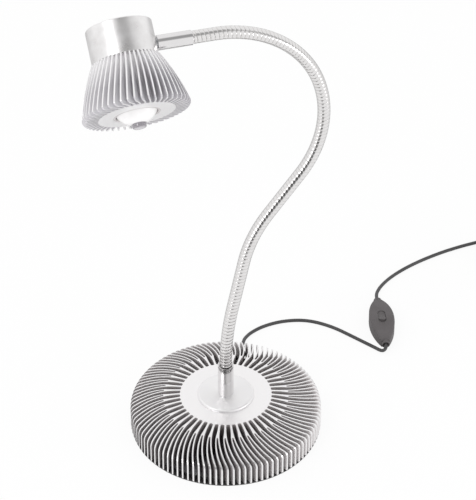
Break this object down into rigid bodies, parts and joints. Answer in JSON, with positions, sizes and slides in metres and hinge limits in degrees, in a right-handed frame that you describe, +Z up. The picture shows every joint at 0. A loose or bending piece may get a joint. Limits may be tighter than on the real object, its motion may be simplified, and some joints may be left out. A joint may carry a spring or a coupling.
{
  "type": "usb_led_lamp",
  "caption": "Desk lamp with a finned aluminium foot, a chromed gooseneck, a finned swivelling LED head and a USB cord with a rocker switch",
  "frame": {"origin": "middle of the foot's underside, where it stands on the desk", "axes": "+Z up out of the desk, +X to the right as pictured, +Y away from the viewer"},
  "size_m": [0.3669, 0.3088, 0.4011],
  "materials": {
    "foot_aluminium": "turned, slots left dark from milling",
    "head_aluminium": "turned, swept slots milled",
    "satin_aluminium": "satin turned",
    "ferrule_chrome": "polished plate",
    "neck_chrome": "bright plated winding",
    "zinc_steel": "zinc plated",
    "foot_foam": "fine foam",
    "cord_vinyl": "extruded vinyl",
    "wire_vinyl": "extruded vinyl",
    "relief_rubber": "moulded",
    "switch_shell": "fine moulded grain",
    "rocker_key": "fine moulded grain",
    "contact_brass": "stamped",
    "lens_acrylic": "clear moulded acrylic",
    "holder_white": "moulded white",
    "board_white": "white solder mask",
    "emitter_phosphor": "phosphor under clear dome",
    "board_green": "solder mask",
    "parts_black": "moulded",
    "plug_grip": "moulded vinyl",
    "plug_steel": "nickel plated",
    "plug_tongue": "moulded"
  },
  "bodies": {
    "base": {"base_heatsink": "foot_aluminium", "base_plate": "zinc_steel", "plate_screws": "zinc_steel", "foot_pad": "foot_foam", "neck_flange": "satin_aluminium", "base_ferrule": "ferrule_chrome", "base_washer": "zinc_steel", "base_nut": "zinc_steel", "base_stud": "zinc_steel", "cord_grommet": "relief_rubber", "base_lead": "cord_vinyl", "neck_length_1": "neck_chrome", "cord_lead": "cord_vinyl", "cord_tail": "cord_vinyl", "cord_coil": "cord_vinyl", "cord_end": "cord_vinyl", "coil_tie": "relief_rubber", "switch_top": "switch_shell", "switch_bottom": "switch_shell", "switch_screws": "zinc_steel", "switch_terminals": "contact_brass", "usb_grip": "plug_grip", "usb_shell": "plug_steel", "usb_tongue": "plug_tongue", "usb_contacts": "contact_brass"},
    "neck_2": {"neck_length_2": "neck_chrome", "neck_wire_2": "wire_vinyl"},
    "neck_3": {"neck_length_3": "neck_chrome", "neck_wire_3": "wire_vinyl"},
    "neck_4": {"neck_length_4": "neck_chrome", "neck_wire_4": "wire_vinyl"},
    "neck_5": {"neck_length_5": "neck_chrome", "neck_wire_5": "wire_vinyl"},
    "neck_6": {"neck_length_6": "neck_chrome", "neck_wire_6": "wire_vinyl"},
    "neck_7": {"neck_length_7": "neck_chrome", "neck_wire_7": "wire_vinyl"},
    "neck_8": {"neck_length_8": "neck_chrome", "neck_wire_8": "wire_vinyl"},
    "neck_end": {"neck_length_9": "neck_chrome", "neck_wire_9": "wire_vinyl", "head_ferrule": "ferrule_chrome", "head_stud": "zinc_steel", "head_nut": "zinc_steel", "head_washer": "zinc_steel"},
    "head": {"head_cap": "satin_aluminium", "head_heatsink": "head_aluminium", "lens_holder": "holder_white", "lens": "lens_acrylic", "lens_ring": "holder_white", "led_board": "board_white", "board_screws": "zinc_steel", "led_emitter": "emitter_phosphor", "driver_board": "board_green", "driver_parts": "parts_black", "led_leads": "wire_vinyl"},
    "rocker": {"switch_rocker": "rocker_key", "contact_bridge": "contact_brass"}
  },
  "joints": [
    {"name": "lower_bend", "type": "hinge", "parent": "base", "child": "neck_2", "pos_m": [0.0027, 0.00075, 0.09867], "axis": [0.2689, -0.9632, 0], "range_deg": [-20, 20]},
    {"name": "lower_sway", "type": "hinge", "parent": "neck_2", "child": "neck_3", "pos_m": [0.01086, 0.00303, 0.14265], "axis": [0.9435, 0.2634, -0.2011], "range_deg": [-18, 18]},
    {"name": "lower_bend_2", "type": "hinge", "parent": "neck_3", "child": "neck_4", "pos_m": [0.02302, 0.00643, 0.18545], "axis": [0.2689, -0.9632, 0], "range_deg": [-20, 20]},
    {"name": "lower_sway_2", "type": "hinge", "parent": "neck_4", "child": "neck_5", "pos_m": [0.04746, 0.01325, 0.2223], "axis": [0.7732, 0.2159, -0.5962], "range_deg": [-18, 18]},
    {"name": "upper_bend", "type": "hinge", "parent": "neck_5", "child": "neck_6", "pos_m": [0.06877, 0.0192, 0.26093], "axis": [0.2689, -0.9632, 0], "range_deg": [-25, 25]},
    {"name": "upper_sway", "type": "hinge", "parent": "neck_6", "child": "neck_7", "pos_m": [0.07093, 0.0198, 0.30522], "axis": [0.9448, 0.2638, 0.1942], "range_deg": [-18, 18]},
    {"name": "upper_bend_2", "type": "hinge", "parent": "neck_7", "child": "neck_8", "pos_m": [0.05216, 0.01456, 0.34496], "axis": [0.2689, -0.9632, 0], "range_deg": [-25, 25]},
    {"name": "upper_sway_2", "type": "hinge", "parent": "neck_8", "child": "neck_end", "pos_m": [0.01632, 0.00456, 0.3689], "axis": [0.2839, 0.0793, 0.9556], "range_deg": [-18, 18]},
    {"name": "head_swivel", "type": "hinge", "parent": "neck_end", "child": "head", "pos_m": [-0.0716, -0.01999, 0.37255], "axis": [0.9632, 0.2689, 0], "range_deg": [-45, 150]},
    {"name": "switch_rock", "type": "hinge", "parent": "base", "child": "rocker", "pos_m": [0.12723, 0.113, 0.0096], "axis": [-0.9962, -0.0872, 0], "range_deg": [-18, 0]}
  ],
  "couplings": [
    {"joint": "lower_bend_2", "follows": "lower_bend", "ratio": 1},
    {"joint": "lower_sway_2", "follows": "lower_sway", "ratio": 1},
    {"joint": "upper_bend_2", "follows": "upper_bend", "ratio": 1},
    {"joint": "upper_sway_2", "follows": "upper_sway", "ratio": 1}
  ]
}
